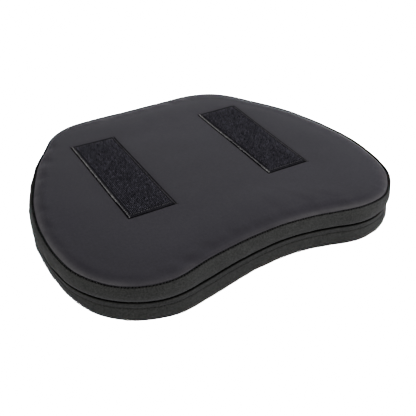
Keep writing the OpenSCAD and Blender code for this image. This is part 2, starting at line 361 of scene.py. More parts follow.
def simulate():
    """Swells the sewn cover over its foam, without gravity.

    Returns each point's move, the rings and the number of points per face.
    """
    verts, faces, rings, face_count = coarse_cover()
    x, y, z = verts.T
    jitter = np.column_stack([plane_noise(x, y + 3 * z, seed=11 + axis, wavelength=26, size=0.10)
                              for axis in range(3)])
    cover = new_mesh("sim_cover", verts + jitter, faces)
    pin_seams(cover, rings)
    cloth = cover.modifiers.new("cover", "CLOTH")
    fabric = cloth.settings
    fabric.quality = 7
    fabric.mass = 0.18
    fabric.tension_stiffness = fabric.compression_stiffness = 22
    fabric.shear_stiffness = 12
    fabric.bending_stiffness = 0.6
    fabric.tension_damping = fabric.compression_damping = fabric.shear_damping = 8
    fabric.air_damping = 4
    fabric.use_pressure = True
    fabric.uniform_pressure_force = 4.0
    fabric.shrink_min = -0.012          # the fabric grows a little
    fabric.vertex_group_mass = "held"
    fabric.pin_stiffness = 1.0
    fabric.effector_weights.gravity = 0.0
    cloth.collision_settings.use_collision = False
    scene = bpy.context.scene
    last = 20
    scene.frame_start, scene.frame_end = 1, last
    cloth.point_cache.frame_start, cloth.point_cache.frame_end = 1, last
    for number in range(1, last + 1):
        scene.frame_set(number)
    swollen = cover.evaluated_get(bpy.context.evaluated_depsgraph_get())
    mesh = swollen.to_mesh()
    co = np.empty(len(mesh.vertices) * 3, dtype=np.float32)
    mesh.vertices.foreach_get("co", co)
    swollen.to_mesh_clear()
    scene.frame_set(1)
    source = cover.data
    bpy.data.objects.remove(cover)
    bpy.data.meshes.remove(source)
    return co.reshape(-1, 3).astype(np.float64) * 1000 - verts, rings, face_count


_move, _rings, _face_count = simulate()
RING_MOVE = np.stack([_move[ring] for ring in _rings])          # levels x SIM_COUNT x 3
BACK_MOVE = _move[:_face_count].reshape(SIM_GRID + 1, SIM_GRID + 1, 3)


def limit(move, most):
    """Limits a move smoothly to a length."""
    n = np.linalg.norm(move, axis=-1, keepdims=True)
    return move * np.where(n > 1e-9, most * np.tanh(n / most) / np.maximum(n, 1e-9), 1)


def stations(stretch, *seams):
    """Sorted (parameter, level number) pairs of one stretch and the seams that end it."""
    inside = [(level[1], i) for i, level in enumerate(LEVELS) if level[0] == stretch]
    return sorted(inside + [(at, STRETCHES.index(seam)) for at, seam in seams])


BACK_SIM = stations("back", (0.0, "back_seam"))
UPPER_SIM = stations("upper", (0.0, "back_seam"), (1.0, "mid"))
LOWER_SIM = stations("lower", (0.0, "mid"), (1.0, "strike_seam"))
STRIKE_SIM = stations("strike", (0.0, "strike_seam"))


def sim_at(pairs, at):
    """Move of every fine loop point between two simulated rings."""
    places, levels = zip(*pairs)
    at = float(np.clip(at, places[0], places[-1]))
    j = int(np.clip(np.searchsorted(places, at) - 1, 0, len(places) - 2))
    f = (at - places[j]) / (places[j + 1] - places[j])
    f = ease(f) * 0.4 + f * 0.6
    move = loop_blur(RING_MOVE[levels[j]] * (1 - f) + RING_MOVE[levels[j + 1]] * f, 0.8)
    return at_loop(move, np.arange(LOOP_COUNT) * (SIM_COUNT / LOOP_COUNT))


# ---------------------------------------------------------------- sewing
STITCH = PERIMETER / 384        # about 3 mm
PUCKER = 0.5 - 0.5 * np.cos(2 * math.pi * (np.arange(LOOP_COUNT) * PERIMETER / LOOP_COUNT)
                            / STITCH)       # 0 at a needle hole, 1 between two
HOLE = 1 - PUCKER
GATHER = loop_noise(
    [(41, .35), (57, .35), (73, .3), (95, .28), (121, .25), (149, .2)], 12)
GATHER_B = loop_noise([(37, .35), (53, .35), (79, .3), (101, .28), (131, .25)], 13)
MID_WAVE_Z = loop_noise([(3, .25), (6, .2), (11, .14), (17, .1)], 5)
MID_WAVE_OUT = loop_noise([(4, .25), (8, .2), (13, .12), (21, .08)], 6)

# the two face seams: side, height, how they wander, and what the cover does beside them
BACK = SimpleNamespace(
    sign=1, z=Z_TOP, sim=BACK_SIM, gather=GATHER,
    wave_z=loop_noise([(3, .22), (5, .2), (9, .16), (14, .12), (23, .08), (31, .05)], 3),
    wave_out=loop_noise([(4, .25), (7, .2), (12, .16), (19, .12), (29, .08)], 4))
STRIKE = SimpleNamespace(
    sign=-1, z=Z_LOW, sim=STRIKE_SIM, gather=GATHER_B,
    wave_z=loop_noise([(3, .2), (7, .15), (13, .1)], 8),
    wave_out=loop_noise([(4, .3), (9, .2), (15, .12)], 9))

REAR = LINE[:, 1] > Y_REAR - 12
# 1 along the open stretch of zip
OPENING = np.where(REAR, 1 - ease((np.abs(LINE[:, 0]) - (OPENING_X - 5)) / 7), 0)
# 1 where the pull tab swings
FLATTEN = np.where(REAR, ease((90 - np.abs(LINE[:, 0])) / 8), 0)


def ring(offset, z, move=0.0):
    """A closed ring at an offset and height, with the drift of the filled cover."""
    z = np.broadcast_to(z, (LOOP_COUNT,)).astype(float)
    return np.column_stack([LINE + OUT * (offset + drift(z))[:, None], z]) + move


# ---------------------------------------------------------------- material helpers
COLOR, FACTOR = 0, 1        # outputs of a wave texture


def shade(color, k=1.0):
    return (color[0] * k, color[1] * k, color[2] * k, 1)


def grey(k):
    return shade((1, 1, 1), k)


class Shader:
    """A material's node tree. Its helpers return output sockets."""

    def __init__(self, name):
        self.material = bpy.data.materials.new(name)
        self.material.use_nodes = True
        self.tree = self.material.node_tree
        self.tree.nodes.clear()
        output = self.node("ShaderNodeOutputMaterial")
        self.principled = self.node("ShaderNodeBsdfPrincipled")
        self.feed(output.inputs["Surface"], self.principled.outputs["BSDF"])
        self.position = self.node("ShaderNodeTexCoord").outputs["Object"]

    def feed(self, socket, value):
        if isinstance(value, bpy.types.NodeSocket):
            self.tree.links.new(value, socket)
        else:
            socket.default_value = value

    def node(self, kind, inputs=(), **settings):
        node = self.tree.nodes.new(kind)
        for key, value in settings.items():
            setattr(node, key, value)
        for key, value in dict(inputs).items():
            self.feed(node.inputs[key], value)
        return node

    def surface(self, **inputs):
        for key, value in inputs.items():
            self.feed(self.principled.inputs[key.replace("_", " ")], value)

    def mapping(self, rotation=(0, 0, 0)):
        return self.node("ShaderNodeMapping", {
            "Rotation": rotation, "Vector": self.position}).outputs["Vector"]

    def noise(self, scale, detail=2, rough=0.5):
        return self.node("ShaderNodeTexNoise", {
            "Scale": scale, "Detail": detail, "Roughness": rough,
            "Vector": self.position}).outputs[0]

    def voronoi(self, scale, feature="F1"):
        return self.node("ShaderNodeTexVoronoi", {
            "Scale": scale, "Vector": self.position}, feature=feature).outputs[0]

    def wave(self, vector, scale, direction, distortion, output=COLOR):
        return self.node("ShaderNodeTexWave", {
            "Scale": scale, "Distortion": distortion, "Vector": vector},
            bands_direction=direction).outputs[output]

    def math(self, operation, *values, clamp=False):
        return self.node("ShaderNodeMath", enumerate(values),
                         operation=operation, use_clamp=clamp).outputs[0]

    def ramp(self, source, span, low=grey(0), high=grey(1)):
        node = self.node("ShaderNodeValToRGB", {0: source})
        for stop, position, color in zip(node.color_ramp.elements, span, (low, high)):
            stop.position = position
            stop.color = color
        return node.outputs[0]

    def mix(self, amount, a, b, blend="MIX"):
        return self.node("ShaderNodeMix", {0: amount, 6: a, 7: b},
                         data_type="RGBA", blend_type=blend).outputs[2]

    def shades(self, source, span, color, low, high):
        """Two strengths of one colour, shared out by a texture."""
        return self.mix(self.ramp(source, span), shade(color, low), shade(color, high))

    def blotch(self, source, span, base, amount, color):
        """Patches where the base leans towards a colour."""
        return self.mix(self.ramp(source, span), base, self.mix(amount, base, color))

    def attribute(self, name):
        return self.node("ShaderNodeAttribute", attribute_name=name).outputs["Fac"]

    def spread(self, source, low, high):
        return self.node("ShaderNodeMapRange", {
            "To Min": low, "To Max": high, 0: source}).outputs[0]

    def near_box(self, lo, hi, width):
        """1 in and beside a box seen from above, falling to 0 over width mm outside it."""
        split = self.node("ShaderNodeSeparateXYZ", {0: self.position})
        away = []
        for k in (0, 1):
            centre, half = float((lo[k] + hi[k]) / 2000), float((hi[k] - lo[k]) / 2000)
            shifted = self.math("SUBTRACT", split.outputs[k], centre)
            away.append(self.math("SUBTRACT", self.math("ABSOLUTE", shifted), half))
        away = self.math("MULTIPLY", self.math("MAXIMUM", *away), 1800.0 / width)
        return self.math("SUBTRACT", 1.8, away, clamp=True)

    def bump(self, height, strength, depth, over=None):
        inputs = {"Strength": strength, "Distance": depth, "Height": height}
        if over is not None:
            inputs["Normal"] = over
        return self.node("ShaderNodeBump", inputs).outputs["Normal"]


# ---------------------------------------------------------------- materials
SLOT = {m["slot"]: m["base_color"][:3] for m in frame["record"]["materials"]}


def tint(slot, r, g, b):
    """A slot's colour, corrected for how the fabric reads under studio light."""
    color = SLOT[slot]
    return (color[0] * r, color[1] * g, color[2] * b)


def cover_material(name, color, rough, sheen, spec, grain, strips=(), grit_scale=360):
    """Coated knit: pebbled film over a fine knit, with painted shade in the seams and round the
    strips, and a painted highlight on the rolled edges.
    """
    m = Shader(name)
    big = m.noise(scale=9, detail=3, rough=0.55)
    mid = m.noise(scale=60, detail=3, rough=0.6)
    grit = m.noise(scale=grit_scale, detail=3, rough=0.7)
    fine = m.noise(scale=900, detail=2, rough=0.6)
    pebble = m.voronoi(scale=1150, feature="SMOOTH_F1")
    knit = m.wave(m.mapping((0, 0, math.radians(45))), scale=520, direction="X", distortion=0.6)
    tone = m.ramp(big, span=(0.3, 0.7), low=shade(color, 0.9), high=shade(color, 1.1))
    tone = m.blotch(mid, span=(0.35, 0.75), base=tone, amount=0.5, color=shade(color, 1.12))
    speckle = m.ramp(grit, span=(0.5 - 0.2 / grain, 0.5 + 0.22 / grain),
                     low=grey(1 - 0.25 * grain), high=grey(1 + 0.26 * grain))
    tone = m.mix(0.9 * grain, tone, speckle, blend="MULTIPLY")
    pits = m.ramp(pebble, span=(0.0, 0.55), low=grey(0.80), high=grey(1.06))
    tone = m.mix(0.6 * grain, tone, pits, blend="MULTIPLY")
    # painted highlight on the rolled edge of a face: a neutral grey brightened well past the
    # cover, a little glossier too
    highlight_mask = m.math("MULTIPLY", m.attribute("highlight"), m.ramp(mid, span=(0.2, 0.6), low=grey(0.6)))
    highlight_grey = sum(color) / 3
    wear_and_highlight_color = shade((highlight_grey * 1.03, highlight_grey * 0.98, highlight_grey * 1.05), 2.75)
    tone = m.mix(highlight_mask, tone, wear_and_highlight_color)
    # painted shade from the mesh: in the seams, at the fold, along the topstitch line and at the
    # bands' bottom lip; less sheen and specular there
    dark = m.attribute("painted_shade")
    # painted shadow: a dark line round each hook strip
    for lo, hi in strips:
        dark = m.math("MAXIMUM", dark, m.math("MULTIPLY", m.near_box(lo, hi, width=2.3), 1.0))
    m.surface(Base_Color=m.mix(m.math("MULTIPLY", dark, 0.97), tone, shade(color, 0.04)))
    gloss = m.spread(mid, low=rough - 0.07, high=rough + 0.10)
    gloss = m.math("SUBTRACT", gloss, m.math("MULTIPLY", highlight_mask, 0.08))
    m.surface(Roughness=m.math("ADD", gloss, m.math("MULTIPLY", dark, 0.3)))
    m.surface(
        Specular_IOR_Level=m.math("MULTIPLY", m.math("SUBTRACT", 1.0, dark), spec),
        Sheen_Weight=m.math("MULTIPLY", m.math("SUBTRACT", 1.0, dark), sheen),
        Sheen_Roughness=0.45,
        Sheen_Tint=(0.9, 0.9, 1.0, 1))
    relief = m.bump(big, strength=0.25, depth=0.0012)
    relief = m.bump(knit, strength=0.10 * grain, depth=0.00008, over=relief)
    relief = m.bump(pebble, strength=0.45 * grain, depth=0.00010, over=relief)
    relief = m.bump(grit, strength=0.30 * grain, depth=0.00012, over=relief)
    relief = m.bump(fine, strength=0.35 * grain, depth=0.00006, over=relief)
    m.surface(Normal=relief)
    return m.material


def thread_material(name, color):
    """Twisted sewing thread."""
    m = Shader(name)
    twist = m.wave(m.mapping((0.6, 0.4, 0.7)), scale=1500, direction="DIAGONAL", distortion=1.0)
    fuzz = m.noise(scale=700, detail=3, rough=0.6)
    m.surface(Base_Color=m.shades(fuzz, span=(0.3, 0.7), color=color, low=0.7, high=1.6),
              Roughness=0.5, Sheen_Weight=0.3)
    relief = m.bump(twist, strength=0.6, depth=0.00012)
    m.surface(Normal=m.bump(fuzz, strength=0.3, depth=0.00008, over=relief))
    return m.material


def woven_material(name, color, pitch, rough, spec=0.3, sheen=0.2):
    """Narrow woven tape: warp and weft ribs, slight fading along the threads."""
    m = Shader(name)
    vector = m.mapping()
    rib_x, rib_y, rib_z = (
        m.wave(vector, scale=scale, direction=axis, distortion=0.2, output=FACTOR)
        for scale, axis in ((pitch, "X"), (pitch * 0.75, "Y"), (pitch, "Z")))
    fade = m.noise(scale=160, detail=4, rough=0.6)
    weave = m.math("MULTIPLY", m.math("MAXIMUM", rib_x, rib_z), rib_y)
    tone = m.shades(weave, span=(0.1, 0.8), color=color, low=0.55, high=1.35)
    tone = m.blotch(fade, span=(0.3, 0.75), base=tone, amount=0.45, color=shade(color, 1.9))
    relief = m.bump(weave, strength=0.7, depth=0.00018)
    m.surface(Base_Color=tone, Roughness=rough, Specular_IOR_Level=spec, Sheen_Weight=sheen,
              Normal=m.bump(fade, strength=0.2, depth=0.0002, over=relief))
    return m.material


def nylon_material(name, color, rough, spec, flecks_and_glints=False):
    """Nylon filament, unevenly toned; with flecks, some single hooks are darker at random and
    others are lighter as painted glints.
    """
    m = Shader(name)
    streak = m.noise(scale=420, detail=3, rough=0.6)
    big = m.noise(scale=70, detail=2, rough=0.5)
    tone = m.shades(streak, span=(0.35, 0.7), color=color, low=0.6, high=1.8)
    tone = m.blotch(big, span=(0.35, 0.7), base=tone, amount=0.5, color=shade(color, 1.5))
    if flecks_and_glints:
        # random darker hooks, and the palest ones lightened as painted glints
        dull = m.ramp(m.attribute("shade"), span=(0.0, 0.4))
        painted_glint = m.ramp(m.attribute("shade"), span=(0.75, 1.0))
        tone = m.mix(dull, shade(color, 0.55), m.mix(painted_glint, tone, shade(color, 2.6)))
    m.surface(Base_Color=tone, Specular_IOR_Level=spec,
              Roughness=m.spread(streak, low=rough - 0.08, high=rough + 0.15),
              Normal=m.bump(streak, strength=0.25, depth=0.00008))
    return m.material


def foam_material(name, cell):
    """Open-cell foam in its slot's colour."""
    color = SLOT[name]
    m = Shader(name)
    small = m.voronoi(scale=cell)
    large = m.voronoi(scale=cell * 0.45)
    patch = m.noise(scale=30, detail=3, rough=0.5)
    cells = m.math("ADD", small, m.math("MULTIPLY", large, 0.6))
    tone = m.shades(cells, span=(0.15, 0.9), color=color, low=0.55, high=1.05)
    tone = m.blotch(patch, span=(0.3, 0.7), base=tone, amount=0.3, color=shade(color, 0.85))
    m.surface(Base_Color=tone, Roughness=0.92, Normal=m.bump(cells, strength=0.8, depth=0.0006))
    return m.material


def metal_material(name, rough, metallic=None):
    """Die-cast metal in its slot's colour, rubbed along its edges.

    Without a metallic value it is lacquered, and metallic only where the wear shows.
    """
    m = Shader(name)
    grit = m.noise(scale=500, detail=4, rough=0.65)
    big = m.noise(scale=120, detail=3, rough=0.6)
    geometry = m.node("ShaderNodeNewGeometry")
    edge = m.ramp(geometry.outputs["Pointiness"], span=(0.52, 0.62))
    wear = m.math("MULTIPLY", edge, m.ramp(grit, span=(0.45, 0.62)))
    tone = m.shades(big, span=(0.3, 0.7), color=SLOT[name], low=0.8, high=1.3)
    wear_and_highlight_color = (0.35, 0.34, 0.33, 1)
    m.surface(Base_Color=m.mix(wear, tone, wear_and_highlight_color),
              Roughness=m.spread(grit, low=rough - 0.1, high=rough + 0.15),
              Metallic=wear if metallic is None else metallic,
              Normal=m.bump(grit, strength=0.15, depth=0.00005))
    return m.material


MAT_BACK = cover_material("back_cover", tint("back_cover", r=1.025, g=0.935, b=1.025),
                          rough=0.50, sheen=0.30, spec=0.38, grain=0.8, strips=TAPE_BOXES)
MAT_SIDE = cover_material("side_cover", tint("side_cover", r=1.93, g=1.90, b=1.81),
                          rough=0.62, sheen=0.22, spec=0.28, grain=1.5, grit_scale=680)
MAT_STRIKE = cover_material("strike_cover", SLOT["strike_cover"],
                            rough=0.48, sheen=0.15, spec=0.4, grain=1.1)
MAT_THREAD = thread_material("thread", tint("thread", r=0.3, g=0.3, b=0.32))
MAT_STRIP_THREAD = thread_material("strip_thread", color=(0.17, 0.165, 0.18))
MAT_TAPE = woven_material("hook_tape", tint("hook_tape", r=1.85, g=1.72, b=2.15),
                          pitch=1250, rough=0.75, spec=0.12, sheen=0.02)
# lit and shaded copies of one selvedge: the pale one is a painted highlight on the -x edges, the
# dark one painted shade on the +x edges
MAT_SELVEDGE_LIT = nylon_material("selvedge", color=(0.52, 0.52, 0.52), rough=0.3, spec=0.6)
MAT_SELVEDGE_SHADED = nylon_material("selvedge_shaded", color=(0.12, 0.115, 0.13),
                                   rough=0.45, spec=0.4)
MAT_HOOK = nylon_material("hooks", tint("hooks", r=9.2, g=8.75, b=9.8),
                          rough=0.34, spec=0.6, flecks_and_glints=True)
MAT_ZIP_TAPE = woven_material("zip_tape", SLOT["zip_tape"], pitch=1400, rough=0.8)
MAT_ZIP_COIL = nylon_material("zip_coil", SLOT["zip_coil"], rough=0.3, spec=0.55)
MAT_SLIDER = metal_material("zip_slider", rough=0.38)
MAT_PULL = metal_material("zip_pull", rough=0.36)
MAT_STOP = metal_material("stop_metal", rough=0.4, metallic=1.0)

METAL_PIECES = {"zip_top_stops": MAT_STOP, "zip_bottom_stop": MAT_STOP,
                "zip_slider": MAT_SLIDER, "zip_pull": MAT_PULL}
KEPT_PIECES = {
    "rear_foam": foam_material("foam_firm", cell=900),
    "core_foam": foam_material("foam_core", cell=620),
    "strike_foam": foam_material("foam_soft", cell=450),
    "upper_zip_tape": MAT_ZIP_TAPE, "lower_zip_tape": MAT_ZIP_TAPE, **METAL_PIECES}
for node, material in KEPT_PIECES.items():
    slots = NODES[node].data.materials
    slots.clear()
    slots.append(material)
for node in METAL_PIECES:
    bevel = NODES[node].modifiers.new("edges", "BEVEL")
    bevel.width = 0.00022
    bevel.segments = 2
    bevel.limit_method = "ANGLE"
    for face in NODES[node].data.polygons:
        face.use_smooth = False

# ---------------------------------------------------------------- back and strike panels
SHOULDER = [-20, -17.5, -15, -13, -11.2, -9.6, -8.2, -7, -5.9, -4.9, -4, -3.2, -2.5, -1.9,
            -1.4, -1.0, -0.75]      # offsets of the rings out to the seam
# down the wall of the groove and in behind the boxing: offset, rise, pull at a needle hole
GROOVE = [(-0.6, -0.55, .12), (-0.52, -1.0, .1), (-0.5, -1.5, .05), (-0.8, -2.0, 0),
          (-1.8, -2.4, 0), (-2.9, -3.2, 0)]
# tight roll at the edge, then a slow crown: distance inside the seam, rise out of 2.5
ROLL = ([0.55, 0.75, 1.0, 1.4, 1.9, 2.5, 3.2, 4, 4.9, 5.9, 7, 8.2, 9.6, 11.2, 13, 15, 20],
        [-0.8, -0.4, 0.0, 0.38, 0.68, 0.93, 1.16, 1.38, 1.60, 1.81, 2.0, 2.17, 2.31, 2.41,
         2.47, 2.5, 2.5])
# painted shade on the shoulder rings next to the seam
SEAM_SHADE_NEAR = ([-1.4, -1.0, -0.75], [0, .08, .4])                       # offset, darkness
HIGHLIGHT_NEAR = ([-9.5, -6, -3.6, -2.2, -1.2, -0.8], [0, .25, .75, 1, 1, 0])     # offset, painted highlight
# strength of the painted highlight round the loop
HIGHLIGHT_AROUND = np.clip(slack([
    (0, .25), (.2, .3), (.35, .6), (.40, 1.15), (.45, 1.15), (.48, .6), (.51, .45), (.57, .3),
    (.61, .5), (.65, .9), (.70, 1.0), (.76, 1.0), (.80, .8), (.86, .3)])
    + loop_noise([(9, .06), (17, .06), (31, .05)], 51), 0.1, 1.25)
FACE_LIMIT = 1.6                    # longest simulated move kept on a face


def shoulder_rings(seam):
    """Rings from the flat of a face down into its seam, each with its painted shade and painted
    highlight.
    """
    rings, painted_shade, highlight = [], [], []
    for d in SHOULDER:
        near = math.exp((d + 0.6) / 1.5)        # gone a few millimetres in
        wide = math.exp(d / 6.5)
        move = limit(sim_at(seam.sim, d), FACE_LIMIT) * (0.6 * ease((-d - 0.5) / 5.0))
        rise = np.interp(-d, *ROLL) / 2.5 * CROWN - 0.34 * near * HOLE
        z = seam.z + seam.sign * (rise + 0.16 * wide * seam.gather) + seam.wave_z * wide
        rings.append(ring(d + seam.wave_out * wide - 0.16 * near * HOLE, z, move))
        painted_shade.append(np.interp(d, *SEAM_SHADE_NEAR) * (0.4 + 0.6 * HOLE))
        highlight.append(HIGHLIGHT_AROUND * np.interp(d, *HIGHLIGHT_NEAR))
    for d, rise, pull in GROOVE:
        z = seam.z + seam.sign * rise + seam.wave_z
        rings.append(ring(d + seam.wave_out - pull * HOLE, z))
        # the groove is painted in full shade
        painted_shade.append(np.ones(LOOP_COUNT))
        highlight.append(np.zeros(LOOP_COUNT))
    return rings, painted_shade, highlight


def double_grid(grid):
    """Doubles a square grid of points by cubic midpoints."""
    def double_rows(a):
        p = np.concatenate([2 * a[:1] - a[1:2], a, 2 * a[-1:] - a[-2:-1]])
        rows = np.empty((2 * a.shape[0] - 1,) + a.shape[1:])
        rows[::2] = a
        rows[1::2] = (-p[:-3] + 9 * p[1:-2] + 9 * p[2:-1] - p[3:]) / 16
        return rows
    return np.swapaxes(double_rows(np.swapaxes(double_rows(grid), 0, 1)), 0, 1)


def sewn_dip(x, y):
    """The strips' stitching draws the cover in along their edges."""
    z = np.zeros_like(x)
    for lo, hi in TAPE_BOXES:
        dx = np.maximum(lo[0] - x, x - hi[0])
        dy = np.maximum(lo[1] - y, y - hi[1])
        away = np.hypot(np.maximum(dx, 0), np.maximum(dy, 0)) + np.minimum(np.maximum(dx, dy), 0)
        z -= 0.55 * np.exp(-((away + 2.5) / 4.2) ** 2) + 0.15 * np.exp(-(away / 14.0) ** 2)
    return z


def back_relief(share, x, y):
    """Swell, slow waves and sewn dips over the flat of the back."""
    swell = limit(double_grid(BACK_MOVE).reshape(-1, 3), FACE_LIMIT)[:, 2] * 0.67
    swell *= 0.35 + 0.65 * ease((share - 0.55) / 0.45)      # the foam holds the middle back
    waves = (plane_noise(x, y, seed=21, wavelength=120, size=0.22)
             + plane_noise(x, y, seed=22, wavelength=46, size=0.07))
    return swell * (1 - share ** 6) + (1 - share ** 8) * waves + sewn_dip(x, y)


def face_panel(name, seam, material, node, slot):
    is_back = seam.sign > 0
    rings, painted_shade, highlight = shoulder_rings(seam)
    share, place, rim, quads = round_grid(FACE_GRID)
    edge = rings[0][::2]
    on_edge = at_loop(edge, place)
    flat = CENTRE + share[:, None] * (on_edge[:, :2] - CENTRE)
    middle_z = Z_FACE + 0.12 if is_back else 0.0
    blend = ease((share - 0.62) / 0.38)
    z = middle_z * (1 - blend) + on_edge[:, 2] * blend
    if is_back:
        z = z + back_relief(share, flat[:, 0], flat[:, 1])
    verts = np.column_stack([flat, z])
    verts[rim] = edge
    if not is_back:
        verts[:, 2] = np.maximum(verts[:, 2], 0.0)

    # the first ring's odd points join the grid's outer quads as fifth corners
    count = len(verts)
    odd = count + np.arange(LOOP_COUNT // 2)
    between = {frozenset((int(a), int(b))): int(m) for a, b, m in zip(rim, np.roll(rim, -1), odd)}
    faces = []
    for quad in quads.tolist():
        face = []
        for a, b in zip(quad, quad[1:] + quad[:1]):
            face.append(a)
            if frozenset((a, b)) in between:
                face.append(between[frozenset((a, b))])
        faces.append(face[::seam.sign])

    parts = [verts, rings[0][1::2]]
    previous = np.column_stack([rim, odd]).ravel()
    base = count + len(odd)
    for points in rings[1:]:
        if not is_back:
            points[:, 2] = np.maximum(points[:, 2], 0.0)
        parts.append(points)
        current = base + np.arange(LOOP_COUNT)
        base += LOOP_COUNT
        faces.extend(quads_between(previous, current)[:, ::seam.sign].tolist())
        previous = current
    # no painted shade and no painted highlight on the flat of a face
    unpainted = [np.zeros(count + len(odd))]
    marks = {"painted_shade": np.concatenate(unpainted + painted_shade[1:]), "highlight": np.concatenate(unpainted + highlight[1:])}
    return piece(name, np.vstack(parts), faces, material, node, slot, marks)


back_panel = face_panel("back_cover_panel", BACK, MAT_BACK, "top_panel", "back_cover")
face_panel("strike_cover_panel", STRIKE, MAT_STRIKE, "bottom_panel", "strike_cover")

# ---------------------------------------------------------------- upper and lower side bands
# edges of the two bands at the fold, parted along the open stretch of zip
_fold = (MID_WAVE_Z + MID_RISE) * (1 - OPENING)
EDGE_UPPER = Z_MID + 0.65 + _fold + OPENING * 4.6
EDGE_LOWER = Z_MID - 0.65 + _fold - OPENING * 4.6
PATTERN = 0.86   # share of the bulge in the pattern, the rest is swelling
# where the upper band puffs up beside the back seam
PUFF = np.clip(slack([
    (.06, 0), (.12, .5), (.18, .9), (.24, 1.1), (.30, 1.2), (.34, .7), (.375, 0), (.72, 0),
    (.77, .6), (.815, .8), (.845, .25), (.87, 0)]), 0, 1.3)
TACK_X = OPENING_X + 3.2                # bar tacks at both ends of the open stretch

# turn-in at a face seam: height from the back seam, offset, painted shade of upper and lower band
TURN_IN = [(-3.4, -2.6, 1, 1), (-2.4, -1.7, 1, 1), (-1.9, -0.6, 1, 1), (-1.5, 0.02, 1, 1),
           (-1.1, 0.28, 1, 1), (-0.78, 0.46, .95, 1), (-0.62, 0.72, .5, .95),
           (-0.7, 1.1, .12, .95), (-1.1, 1.55, 0, .85), (-1.8, 2.05, 0, .35)]
# turn-in at the fold: height from the band's edge, offset, painted shade
UPPER_FOLD = [(0.95, 0.95, .3), (0.5, 0.75, .75), (0.18, 0.35, 1), (0.02, -0.4, 1),
              (0.05, -1.4, 1), (0.25, -2.8, 1), (0.6, -4.15, 1)]
LOWER_FOLD = [(-0.6, -4.15, 1), (-0.25, -2.8, 1), (-0.03, -1.4, 1), (0.0, -0.2, 1),
              (-0.12, 0.65, .95), (-0.42, 1.15, .6), (-0.95, 1.45, .1), (-1.8, 1.5, 0)]
# share of the way down a band, offset of the filled band
UPPER_FULL = ([.09, .13, .2, .3, .4, .5, .6, .7, .8, .88, .93, 1],
              [2.1, 2.55, 3.15, 3.7, 4.0, 4.1, 3.95, 3.55, 2.9, 2.15, 1.6, .9])
LOWER_FULL = ([.1, .14, .22, .27, .32, .4, .5, .6, .7, .8, .87, .93, 1],
              [1.5, 1.55, 1.7, 1.75, 2.0, 2.6, 3.3, 3.8, 4.0, 3.7, 3.0, 2.2, 1.7])
# painted shade towards the lower band's bottom edge: share of the way down, darkness
LOWER_EDGE_SHADE = ([.74, .79, .84, .93], [0, .3, .7, .9])
PUFF_TURN = ([.46, .72, 1.1, 2.05], [0, .5, .85, 1])        # offset, share of the puff
UPPER_STEPS = np.linspace(0.13, 0.93, 17)
LOWER_STEPS = [0.14, 0.18, 0.22, 0.25, STITCHED, 0.29, 0.32, 0.37, 0.43, 0.5, 0.57, 0.64,
               0.71, 0.78, 0.84, 0.89, 0.93]
UPPER_RIPPLE = loop_noise([(17, .16), (29, .12)], 40)
LOWER_RIPPLE = loop_noise([(19, .18), (31, .12)], 41)


def flatten(d, z):
    """Keeps the folds flush under the pull tab."""
    w = FLATTEN * np.exp(-((z - Z_MID) / 6.0) ** 4)
    return np.minimum(d, d * (1 - w) - 0.12 * w)


def band_ring(d, z, pairs, share):
    """A ring on the free fabric of a band, with its simulated move."""
    move = limit(sim_at(pairs, share), 2.0) * 0.8
    move = move * ease(min(share, 1 - share) / 0.12) * (1 - FLATTEN)[:, None]
    move[:, 2] *= 0.4
    return ring(flatten(d, z), z, move)


def fold_rings(edge, table):
    rings, marks = [], []
    for rise, d, painted_shade in table:
        offset = d + MID_WAVE_OUT if d > -2 else np.full(LOOP_COUNT, d)
        rings.append(ring(flatten(offset, edge + rise), edge + rise))
        # painted shade at the fold, less along the open stretch of zip
        marks.append(painted_shade * (1 - 0.8 * OPENING))
    return rings, marks


def hole_pull(d):
    return HOLE * math.exp(-abs(d - 0.6) / 0.5)


def bulge(share):
    return (4 * share * (1 - share)) ** 0.8


def upper_band():
    top = Z_TOP + BACK.wave_z
    rings, marks = [], []
    for rise, d, painted_shade, _ in TURN_IN:
        pull = hole_pull(d)
        puff = PUFF * np.interp(d, *PUFF_TURN)
        offset = d + 1.2 * puff + BACK.wave_out + 0.12 * GATHER_B * math.exp(-abs(d - .8))
        rings.append(ring(offset, top + rise + puff - 0.32 * pull))
        # painted shade in the seam, broken up between the needle holes
        dark = painted_shade * (1 - 0.45 * PUCKER * (d > 0.4)) + 0.25 * pull * (painted_shade > 0)
        marks.append(np.clip(dark, 0, 1))
    for t in UPPER_STEPS:
        base = 1.2 * (1 - t) + 0.8 * t
        cut = PATTERN if 0.18 < t < 0.88 else 0.5 + 0.5 * PATTERN
        puff = PUFF * np.interp(t, [.13, .5], [1, 0])
        d = (base + (np.interp(t, *UPPER_FULL) - base) * cut
             + BACK.wave_out * (1 - t) + MID_WAVE_OUT * t + 1.2 * puff
             + GATHER_B * 0.2 * math.exp(-t * 7) + UPPER_RIPPLE * bulge(t))
        rings.append(band_ring(d, top + (EDGE_UPPER - top) * t + puff, UPPER_SIM, t))
        marks.append(np.zeros(LOOP_COUNT))
    fold, fold_marks = fold_rings(EDGE_UPPER, UPPER_FOLD)
    return rings + fold, marks + fold_marks


